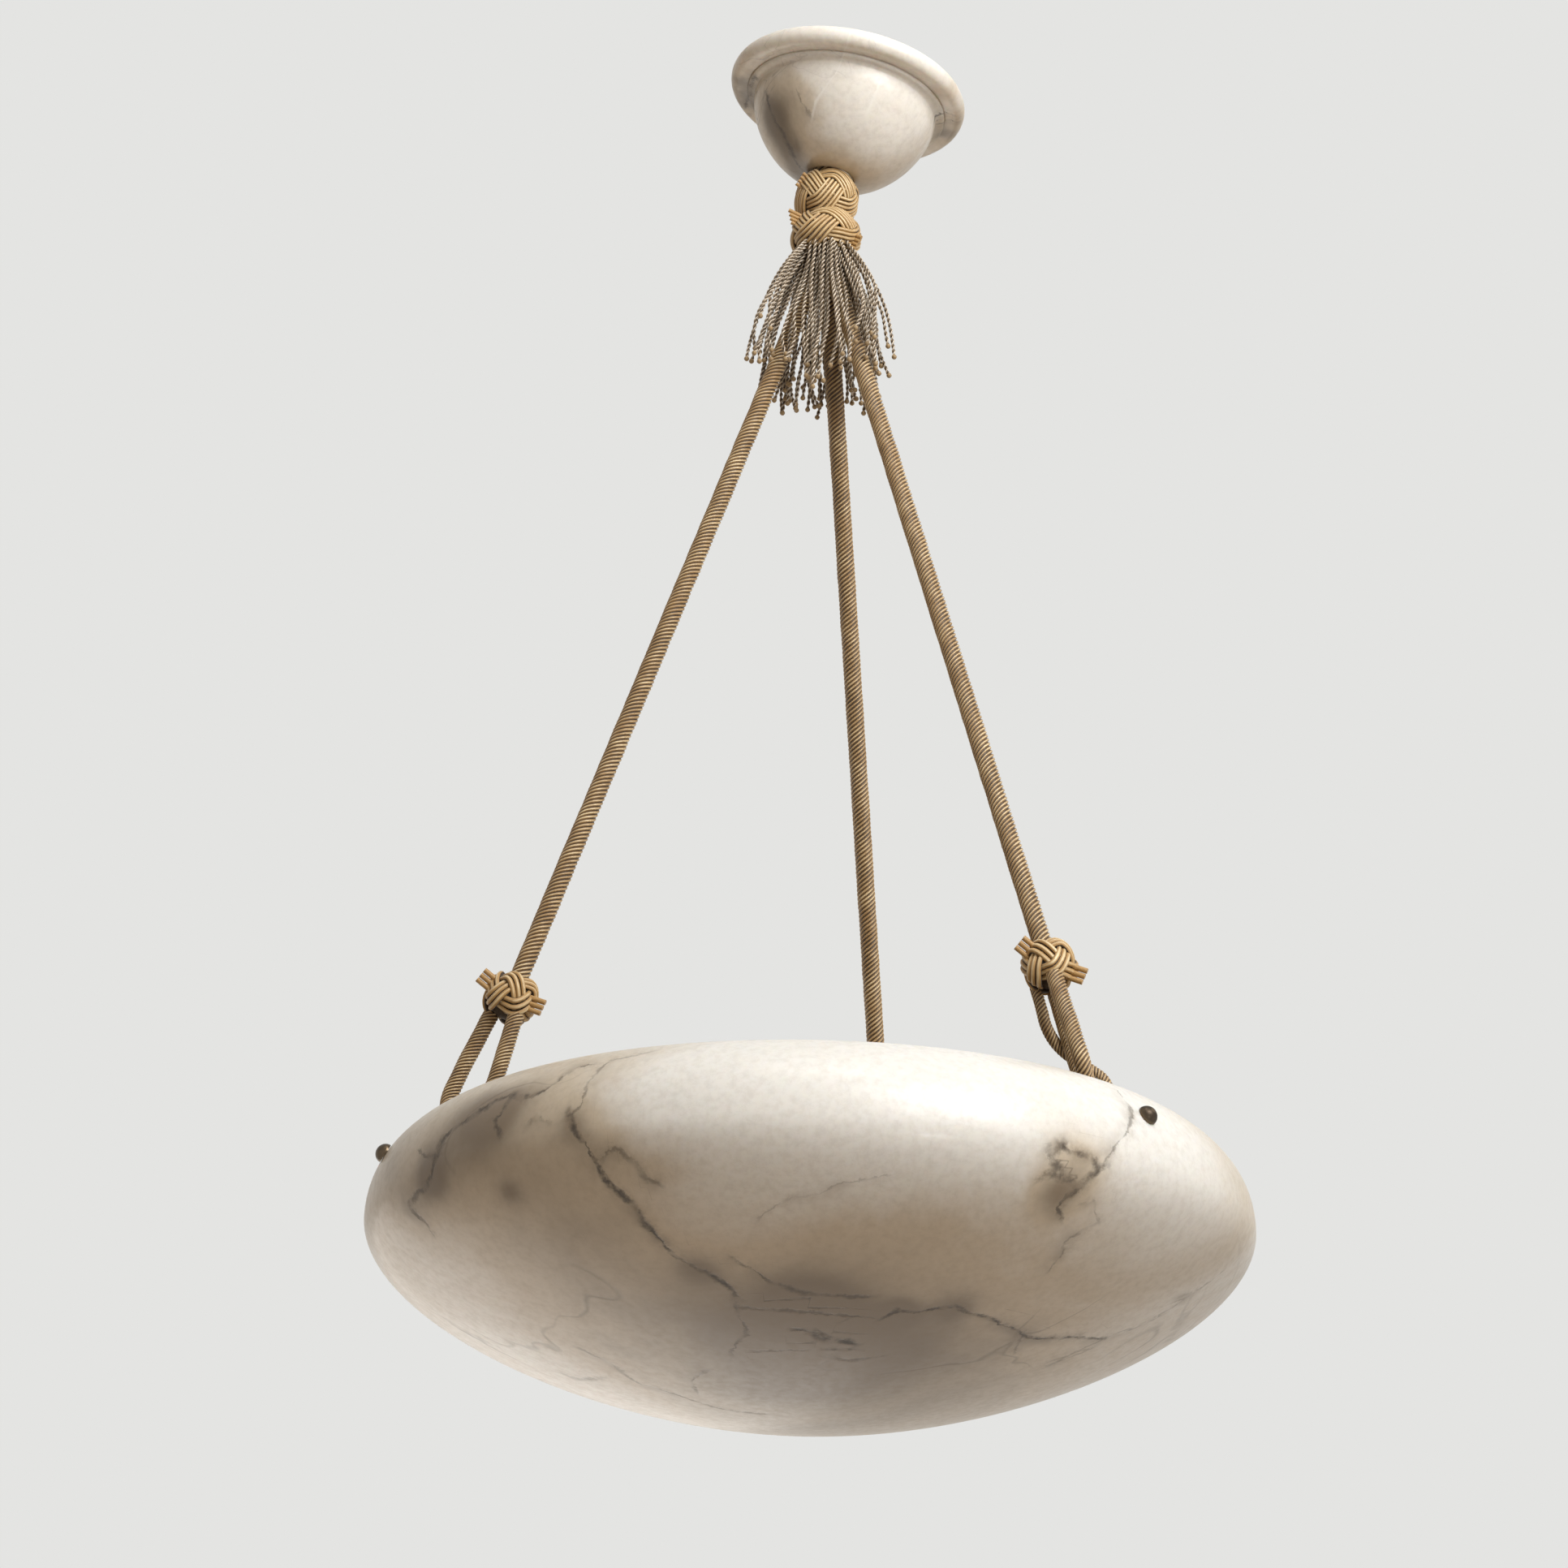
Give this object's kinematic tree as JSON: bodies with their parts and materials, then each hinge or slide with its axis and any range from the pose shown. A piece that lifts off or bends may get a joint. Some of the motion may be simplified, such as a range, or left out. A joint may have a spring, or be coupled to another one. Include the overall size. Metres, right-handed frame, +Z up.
{
  "type": "pendant light",
  "caption": "Alabaster bowl pendant: a shallow stone bowl hung on knotted gold ropes from a tasselled knot, under a small leaning stone ceiling cup, with lamps inside the bowl.",
  "frame": {"origin": "Middle of the ceiling plate's top face, against the ceiling, at the height of the ceiling.", "axes": "+Z up, away from the bowl. The picture's camera looks along +Y and a little upwards, with +X to its right."},
  "size_m": [0.45, 0.4498, 0.789],
  "materials": {
    "alabaster": "polished veined alabaster",
    "gold_cord": "wrapped gold gimp cord",
    "dark_bronze": "dark patinated bronze",
    "plated_steel": "dull plated steel",
    "pale_plastic": "matt",
    "brass": "bright brass",
    "painted_metal": "white paint",
    "white_ceramic": "glazed",
    "frosted_glass": "frosted"
  },
  "bodies": {
    "ceiling": {"ceiling_plate": "plated_steel", "ceiling_hook": "plated_steel", "terminal_block": "pale_plastic", "terminal_screws": "brass"},
    "link": {"hanging_ring": "plated_steel"},
    "suspension": {"rope_socket": "plated_steel", "socket_pin": "plated_steel", "rope_stem": "gold_cord", "head_knot": "gold_cord", "skirt_knot": "gold_cord", "tassel": "gold_cord", "rope_back": "gold_cord", "rope_left": "gold_cord", "rope_right": "gold_cord", "loop_knot_back": "gold_cord", "loop_knot_left": "gold_cord", "loop_knot_right": "gold_cord", "rope_loop_back": "gold_cord", "rope_loop_left": "gold_cord", "rope_loop_right": "gold_cord", "eye_bolt_back": "dark_bronze", "eye_bolt_left": "dark_bronze", "eye_bolt_right": "dark_bronze", "cap_nuts": "dark_bronze", "back_nuts": "dark_bronze", "bolt_washers": "dark_bronze", "bowl": "alabaster", "lamp_hub": "painted_metal", "lamp_arm_back": "painted_metal", "lamp_arm_left": "painted_metal", "lamp_arm_right": "painted_metal", "arm_screws": "plated_steel", "lampholder_1": "white_ceramic", "lampholder_2": "white_ceramic", "lampholder_3": "white_ceramic", "bulb_1": "frosted_glass", "bulb_2": "frosted_glass", "bulb_3": "frosted_glass", "flex_gland": "brass", "lamp_flex": "gold_cord"},
    "cup": {"ceiling_cup": "alabaster"}
  },
  "joints": [
    {"name": "ring_swing", "type": "hinge", "parent": "ceiling", "child": "link", "pos_m": [0, 0, -0.023], "axis": [1, 0, 0], "range_deg": [-8, 8]},
    {"name": "suspension_swing", "type": "hinge", "parent": "link", "child": "suspension", "pos_m": [0, 0, -0.0352], "axis": [0, 1, 0], "range_deg": [-8, 8]},
    {"name": "cup_tilt", "type": "hinge", "parent": "suspension", "child": "cup", "pos_m": [0, 0, -0.0975], "axis": [0, 1, 0], "range_deg": [-18.6, 0]}
  ]
}
